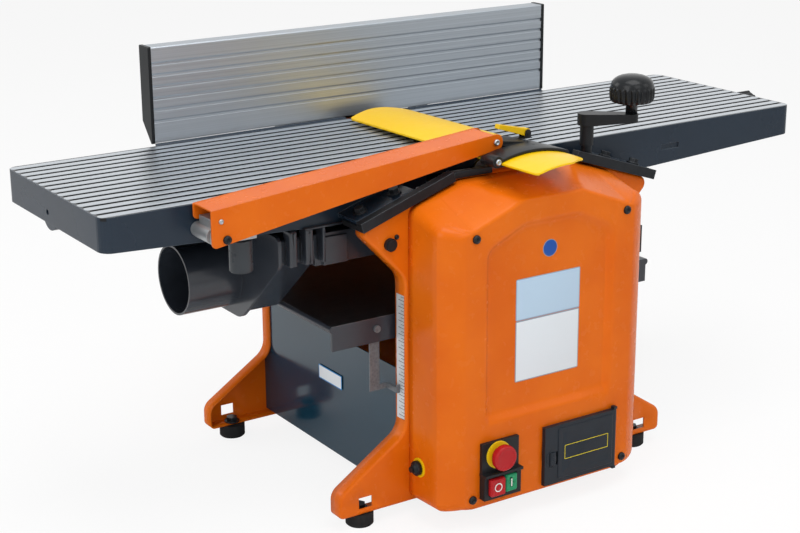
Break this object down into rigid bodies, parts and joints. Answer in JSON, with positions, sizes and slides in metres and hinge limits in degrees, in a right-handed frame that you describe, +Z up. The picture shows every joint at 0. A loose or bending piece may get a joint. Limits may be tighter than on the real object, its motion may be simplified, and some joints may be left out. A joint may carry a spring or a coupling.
{
  "type": "combination planer thicknesser",
  "caption": "Floor-standing planer thicknesser with ribbed alloy tables, orange pressed side frames, a fence, a yellow bridge guard, a crank-lifted thickness table and a chip hood",
  "frame": {"origin": "on the floor, under the middle of the cutterblock and of the planing tables' width", "axes": "+X along the tables to the infeed end, +Y from the operator to the fence at the back, +Z up"},
  "size_m": [1.231, 0.664, 0.6353],
  "materials": {
    "orange_paint": "satin orange paint",
    "dark_paint": "satin anthracite paint",
    "table_casting": "anthracite sides, machined top",
    "black_steel": "blackened steel",
    "bright_steel": "turned and ground steel",
    "bare_aluminium": "natural extrusion and casting",
    "black_plastic": "matte black moulding",
    "grey_plastic": "matte grey moulding",
    "yellow_plastic": "satin yellow",
    "red_plastic": "satin red",
    "green_plastic": "satin green",
    "black_rubber": "black rubber"
  },
  "bodies": {
    "machine": {"front_frame": "orange_paint", "rear_frame": "orange_paint", "drive_cover": "orange_paint", "left_end_panel": "dark_paint", "right_end_panel": "dark_paint", "motor": "dark_paint", "outfeed_table": "table_casting", "tie_bars": "black_steel", "frame_bolts": "black_steel", "table_rails": "black_steel", "cover_screws": "black_steel", "fence_mount": "black_steel", "arm_pivot_bolt": "black_steel", "depth_scale": "bright_steel", "lift_chain": "bright_steel", "guard_bracket": "bare_aluminium", "bearing_blocks": "bare_aluminium", "feed_gearbox": "bare_aluminium", "dust_hood": "black_plastic", "switch_housing": "black_plastic", "toolbox": "black_plastic", "power_inlet": "black_plastic", "reset_bezel": "yellow_plastic", "rubber_feet": "black_rubber", "drive_belt": "black_rubber"},
    "infeed": {"infeed_table": "table_casting", "infeed_bolts": "black_steel"},
    "depth_knob": {"depth_knob": "black_plastic"},
    "bed": {"thickness_table": "dark_paint", "bed_pointer": "bright_steel"},
    "crank": {"crank_screw": "bright_steel", "crank_arm": "black_plastic"},
    "crank_knob": {"crank_knob": "black_plastic"},
    "screw_front": {"lift_screw_front": "bright_steel"},
    "screw_rear_left": {"lift_screw_rear_left": "bright_steel"},
    "screw_rear_right": {"lift_screw_rear_right": "bright_steel"},
    "cutter": {"cutterblock": "bright_steel", "planer_knives": "bright_steel", "cutter_pulley": "bright_steel"},
    "motor_shaft": {"motor_shaft": "bright_steel"},
    "infeed_roller": {"infeed_roller": "bright_steel"},
    "outfeed_roller": {"outfeed_roller": "black_rubber"},
    "pawls": {"kickback_pawls": "bright_steel"},
    "carriage": {"fence_carriage": "bright_steel"},
    "fence": {"fence_plate": "bare_aluminium", "fence_caps": "black_plastic"},
    "fence_lock": {"fence_lock_knob": "black_plastic"},
    "guard_knob": {"guard_height_knob": "grey_plastic"},
    "arm": {"guard_arm": "orange_paint"},
    "holder": {"guard_holder": "black_plastic"},
    "blade": {"guard_blade": "yellow_plastic"},
    "clamp": {"guard_clamp": "yellow_plastic"},
    "hood_knob": {"hood_knob": "black_plastic"},
    "emergency_stop": {"emergency_stop": "red_plastic"},
    "stop_button": {"stop_button": "red_plastic"},
    "start_button": {"start_button": "green_plastic"},
    "reset_button": {"reset_button": "black_plastic"},
    "lid": {"toolbox_lid": "black_plastic"},
    "latch": {"toolbox_latch": "black_plastic"}
  },
  "joints": [
    {"name": "infeed_depth", "type": "slide", "parent": "machine", "child": "infeed", "axis": [0.9483, 0, -0.3173], "range_m": [0, 0.0088]},
    {"name": "depth_knob_turn", "type": "hinge", "parent": "infeed", "child": "depth_knob", "pos_m": [0.598, -0.03, 0.468], "axis": [1, 0, 0], "range_deg": [0, 1800]},
    {"name": "bed_lift", "type": "slide", "parent": "machine", "child": "bed", "axis": [0, 0, 1], "range_m": [-0.036, 0.072]},
    {"name": "crank_turn", "type": "hinge", "parent": "machine", "child": "crank", "pos_m": [0.144, -0.196, 0.3], "axis": [0, 0, 1], "range_deg": [-4320, 8640]},
    {"name": "crank_knob_spin", "type": "hinge", "parent": "crank", "child": "crank_knob", "pos_m": [0.19365, -0.23479, 0.56], "axis": [0, 0, 1], "continuous": true},
    {"name": "screw_front_turn", "type": "hinge", "parent": "machine", "child": "screw_front", "pos_m": [-0.144, -0.196, 0.3], "axis": [0, 0, 1], "range_deg": [-4320, 8640]},
    {"name": "screw_rear_left_turn", "type": "hinge", "parent": "machine", "child": "screw_rear_left", "pos_m": [-0.144, 0.186, 0.3], "axis": [0, 0, 1], "range_deg": [-4320, 8640]},
    {"name": "screw_rear_right_turn", "type": "hinge", "parent": "machine", "child": "screw_rear_right", "pos_m": [0.144, 0.186, 0.3], "axis": [0, 0, 1], "range_deg": [-4320, 8640]},
    {"name": "cutter_spin", "type": "hinge", "parent": "machine", "child": "cutter", "pos_m": [0, 0, 0.4545], "axis": [0, 1, 0], "continuous": true},
    {"name": "motor_spin", "type": "hinge", "parent": "machine", "child": "motor_shaft", "pos_m": [0, -0.15, 0.12], "axis": [0, 1, 0], "continuous": true},
    {"name": "infeed_roller_spin", "type": "hinge", "parent": "machine", "child": "infeed_roller", "pos_m": [-0.062, 0, 0.433], "axis": [0, 1, 0], "continuous": true},
    {"name": "outfeed_roller_spin", "type": "hinge", "parent": "machine", "child": "outfeed_roller", "pos_m": [0.062, 0, 0.433], "axis": [0, 1, 0], "continuous": true},
    {"name": "pawls_swing", "type": "hinge", "parent": "machine", "child": "pawls", "pos_m": [-0.098, 0, 0.424], "axis": [0, -1, 0], "range_deg": [0, 40]},
    {"name": "fence_cross", "type": "slide", "parent": "machine", "child": "carriage", "axis": [0, 1, 0], "range_m": [-0.02, 0]},
    {"name": "fence_tilt", "type": "hinge", "parent": "carriage", "child": "fence", "pos_m": [0, 0.18, 0.5005], "axis": [-1, 0, 0], "range_deg": [0, 45]},
    {"name": "fence_lock_turn", "type": "hinge", "parent": "machine", "child": "fence_lock", "pos_m": [-0.005, 0.31, 0.508], "axis": [0, 1, 0], "range_deg": [0, 180]},
    {"name": "guard_knob_turn", "type": "hinge", "parent": "machine", "child": "guard_knob", "pos_m": [-0.422, -0.192, 0.43], "axis": [0, 0, 1], "range_deg": [0, 1440]},
    {"name": "arm_raise", "type": "hinge", "parent": "machine", "child": "arm", "pos_m": [-0.453, -0.19, 0.455], "axis": [0, -1, 0], "range_deg": [0, 9.6]},
    {"name": "holder_level", "type": "hinge", "parent": "arm", "child": "holder", "pos_m": [-0.034, -0.19, 0.525], "axis": [0, 1, 0], "range_deg": [0, 9.6]},
    {"name": "blade_slide", "type": "slide", "parent": "holder", "child": "blade", "axis": [0, 0.9998, -0.0192], "range_m": [-0.25, 0]},
    {"name": "clamp_lever", "type": "hinge", "parent": "holder", "child": "clamp", "pos_m": [0.044, -0.18, 0.523], "axis": [0, 1, 0], "range_deg": [0, 40]},
    {"name": "hood_knob_turn", "type": "hinge", "parent": "machine", "child": "hood_knob", "pos_m": [-0.208, -0.2, 0.407], "axis": [0, 1, 0], "range_deg": [0, 90]},
    {"name": "emergency_stop_push", "type": "slide", "parent": "machine", "child": "emergency_stop", "axis": [0, 1, 0], "range_m": [0, 0.005]},
    {"name": "stop_push", "type": "slide", "parent": "machine", "child": "stop_button", "axis": [0, 1, 0], "range_m": [0, 0.003], "stiffness_N_per_m": 400},
    {"name": "start_push", "type": "slide", "parent": "machine", "child": "start_button", "axis": [0, 1, 0], "range_m": [0, 0.003], "stiffness_N_per_m": 400},
    {"name": "reset_push", "type": "slide", "parent": "machine", "child": "reset_button", "axis": [1, 0, 0], "range_m": [0, 0.003], "stiffness_N_per_m": 300},
    {"name": "lid_swing", "type": "hinge", "parent": "machine", "child": "lid", "pos_m": [0.118, -0.3072, 0.08], "axis": [0, 0, 1], "range_deg": [0, 100]},
    {"name": "latch_slide", "type": "slide", "parent": "lid", "child": "latch", "axis": [1, 0, 0], "range_m": [0, 0.004]}
  ],
  "couplings": [
    {"joint": "depth_knob_turn", "follows": "infeed_depth", "rad_per_m": 3569.9},
    {"joint": "crank_turn", "follows": "bed_lift", "rad_per_m": 2094.4},
    {"joint": "screw_front_turn", "follows": "bed_lift", "rad_per_m": 2094.4},
    {"joint": "screw_rear_left_turn", "follows": "bed_lift", "rad_per_m": 2094.4},
    {"joint": "screw_rear_right_turn", "follows": "bed_lift", "rad_per_m": 2094.4},
    {"joint": "motor_spin", "follows": "cutter_spin", "ratio": 0.3},
    {"joint": "infeed_roller_spin", "follows": "cutter_spin", "ratio": -0.0055},
    {"joint": "outfeed_roller_spin", "follows": "cutter_spin", "ratio": -0.0055},
    {"joint": "guard_knob_turn", "follows": "arm_raise", "ratio": 150},
    {"joint": "holder_level", "follows": "arm_raise", "ratio": 1}
  ]
}
